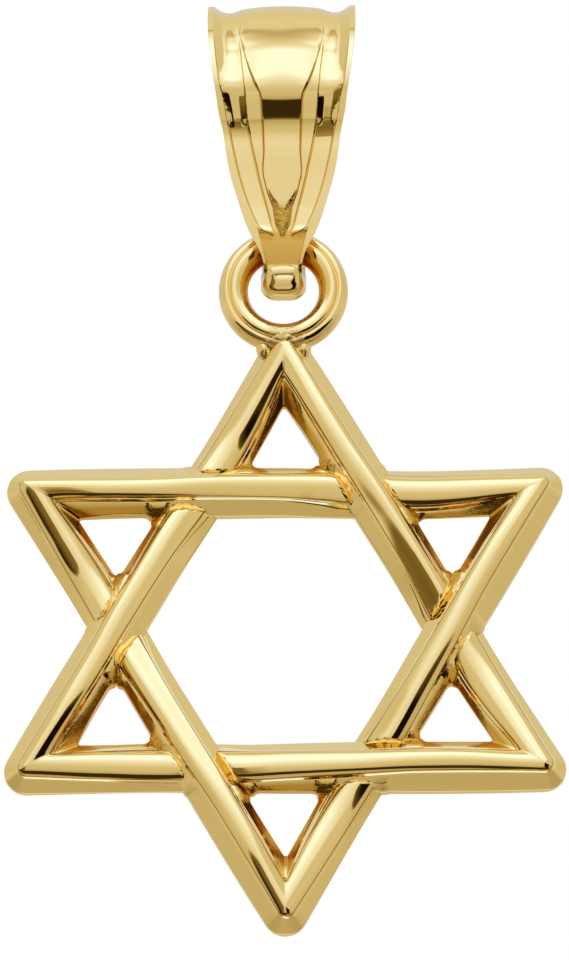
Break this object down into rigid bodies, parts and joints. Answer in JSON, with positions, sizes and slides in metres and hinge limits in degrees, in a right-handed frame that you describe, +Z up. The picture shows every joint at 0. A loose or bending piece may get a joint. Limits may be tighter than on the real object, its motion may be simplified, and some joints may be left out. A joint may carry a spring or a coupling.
{
  "type": "star charm",
  "caption": "Polished gold charm of an openwork star made of interlaced triangles, with a fixed ring that hangs in a tapered fluted bail for a chain.",
  "frame": {"origin": "inner top surface of the bail, where a chain lies", "axes": "+Z up, front face towards -Y, +X to the right seen from the front"},
  "size_m": [0.015, 0.0041, 0.0265],
  "materials": {
    "gold": "polished yellow gold"
  },
  "bodies": {
    "bail": {"bail": "gold"},
    "star": {"star": "gold"}
  },
  "joints": [
    {"name": "star_swing", "type": "hinge", "parent": "bail", "child": "star", "pos_m": [0, 0, -0.00654], "axis": [1, 0, 0], "range_deg": [-55, 60]}
  ]
}
